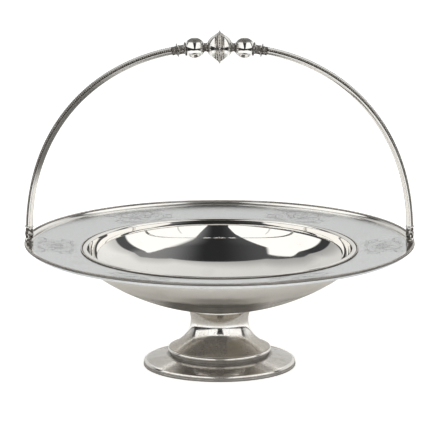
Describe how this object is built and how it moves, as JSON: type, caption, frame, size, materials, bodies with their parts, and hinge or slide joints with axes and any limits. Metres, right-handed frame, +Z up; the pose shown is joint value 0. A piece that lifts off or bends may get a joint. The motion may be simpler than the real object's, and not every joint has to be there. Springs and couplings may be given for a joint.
{
  "type": "footed dish with swing handle",
  "caption": "Round pedestal dish with a shallow well, a wide flat rim and an arched handle that swings on two pinned hinges at the rim.",
  "frame": {"origin": "middle of the foot, on the surface that the dish stands on", "axes": "+Z up out of the dish; the two handle hinges lie along X; -Y is the front, as pictured"},
  "size_m": [0.2396, 0.24, 0.209],
  "materials": {
    "bowl_plate": "silver plate on spun base metal, polished well, finely matte engraved rim",
    "mounts_plate": "silver plate, bright raised strips and beaded wires with darker recesses",
    "pedestal_plate": "silver plate, polished, with a light warm tarnish on the foot",
    "hinge_plate": "silver plate, worn and darkened in the joints",
    "handle_plate": "silver plate, polished, beaded edges with darker recesses"
  },
  "bodies": {
    "dish": {"bowl": "bowl_plate", "rim_border_front": "mounts_plate", "rim_border_back": "mounts_plate", "rim_beads_front": "mounts_plate", "rim_beads_back": "mounts_plate", "mouth_moulding": "mounts_plate", "mouth_beads": "mounts_plate", "pedestal_collar": "pedestal_plate", "pedestal_stem": "pedestal_plate", "foot_step_ring": "pedestal_plate", "foot_flange": "pedestal_plate", "foot_wire": "pedestal_plate", "hinge_lug_left": "hinge_plate", "hinge_lug_right": "hinge_plate", "hinge_pin_left": "hinge_plate", "hinge_pin_right": "hinge_plate"},
    "handle": {"hinge_fork_left": "hinge_plate", "arm_ferrule_left": "hinge_plate", "handle_arm_left": "handle_plate", "arm_beads_front_left": "handle_plate", "arm_beads_back_left": "handle_plate", "arm_socket_left": "handle_plate", "grip_flange_left": "handle_plate", "grip_spool_left": "handle_plate", "ball_ring_left": "handle_plate", "side_ball_left": "handle_plate", "grip_neck_left": "handle_plate", "centre_ball_left": "handle_plate", "hinge_fork_right": "hinge_plate", "arm_ferrule_right": "hinge_plate", "handle_arm_right": "handle_plate", "arm_beads_front_right": "handle_plate", "arm_beads_back_right": "handle_plate", "arm_socket_right": "handle_plate", "grip_flange_right": "handle_plate", "grip_spool_right": "handle_plate", "ball_ring_right": "handle_plate", "side_ball_right": "handle_plate", "grip_neck_right": "handle_plate", "centre_ball_right": "handle_plate", "centre_ridge": "handle_plate", "grip_core": "handle_plate"}
  },
  "joints": [
    {"name": "handle_swing", "type": "hinge", "parent": "dish", "child": "handle", "pos_m": [0, 0, 0.0825], "axis": [1, 0, 0], "range_deg": [-86.5, 86.5]}
  ]
}
